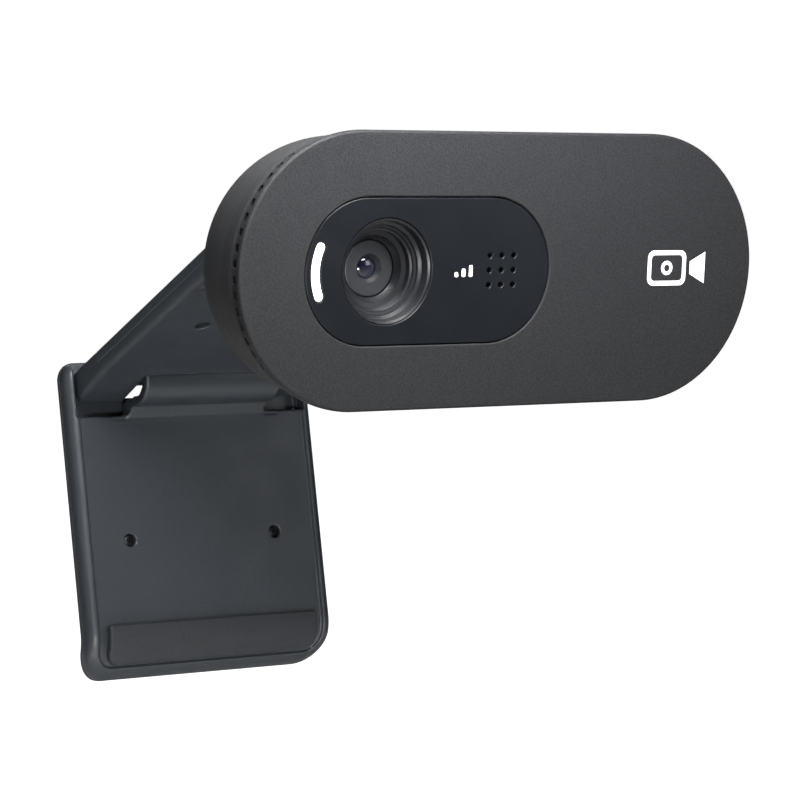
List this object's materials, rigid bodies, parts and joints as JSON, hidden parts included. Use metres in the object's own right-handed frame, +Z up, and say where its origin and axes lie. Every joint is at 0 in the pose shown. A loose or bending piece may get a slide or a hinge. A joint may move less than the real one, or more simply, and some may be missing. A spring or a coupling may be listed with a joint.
{
  "type": "clip-on webcam",
  "caption": "Clip-on webcam: wide rounded camera head tilting on a flat arm that rests on a monitor's top edge, with a flap folding down behind the screen.",
  "frame": {"origin": "middle of the arm's flat underside, where the monitor's top edge carries the webcam", "axes": "-Y is where the camera looks, +X is to the right for somebody facing the camera's front, +Z is up; the arm slopes down towards +Y at rest"},
  "size_m": [0.0728, 0.0747, 0.0766],
  "materials": {
    "housing_plastic": "fine-grained dark grey moulded plastic",
    "panel_plastic": "smooth bluish-black plastic, satin",
    "arm_plastic": "smooth dark bluish-grey plastic, satin",
    "lens_plastic": "black nylon",
    "pad_rubber": "matte black rubber",
    "light_guide": "white translucent plastic, lit",
    "white_plastic": "off-white nylon",
    "lens_glass": "coated dark lens glass",
    "screw_steel": "plated steel",
    "board_laminate": "green soldermask",
    "chip_plastic": "black epoxy",
    "metal_can": "bright metal can"
  },
  "bodies": {
    "arm": {"arm_base": "arm_plastic", "arm_cover": "arm_plastic", "arm_screw_left": "screw_steel", "arm_screw_right": "screw_steel", "lip_pad": "pad_rubber", "fold_pin": "screw_steel"},
    "head": {"front_cover": "housing_plastic", "lens_panel": "panel_plastic", "status_light_pipe": "light_guide", "lens_funnel": "panel_plastic", "lens_barrel": "lens_plastic", "front_lens": "lens_glass", "rear_lens": "lens_glass", "lens_holder": "lens_plastic", "infrared_filter": "lens_glass", "image_sensor": "chip_plastic", "camera_board": "board_laminate", "status_led": "light_guide", "processor_chip": "chip_plastic", "clock_crystal": "metal_can", "microphone_capsule": "metal_can", "microphone_boot": "pad_rubber", "cable_socket": "white_plastic", "cable_grommet": "pad_rubber", "rear_housing": "housing_plastic", "housing_screw_left": "screw_steel", "housing_screw_right": "screw_steel", "tilt_yoke": "arm_plastic", "yoke_screw_left": "screw_steel", "yoke_screw_right": "screw_steel", "tilt_pin": "screw_steel", "tilt_washer_left": "screw_steel", "tilt_washer_right": "screw_steel"},
    "flap": {"flap_face": "arm_plastic", "flap_back_cover": "arm_plastic", "flap_screw_left": "screw_steel", "flap_screw_right": "screw_steel", "fold_sleeve": "lens_plastic", "grip_pad": "pad_rubber"}
  },
  "joints": [
    {"name": "head_tilt", "type": "hinge", "parent": "arm", "child": "head", "pos_m": [0, -0.02547, 0.01779], "axis": [1, 0, 0], "range_deg": [-30, 35]},
    {"name": "flap_fold", "type": "hinge", "parent": "arm", "child": "flap", "pos_m": [0, 0.01656, -0.00894], "axis": [1, 0, 0], "range_deg": [-95, 73]}
  ]
}
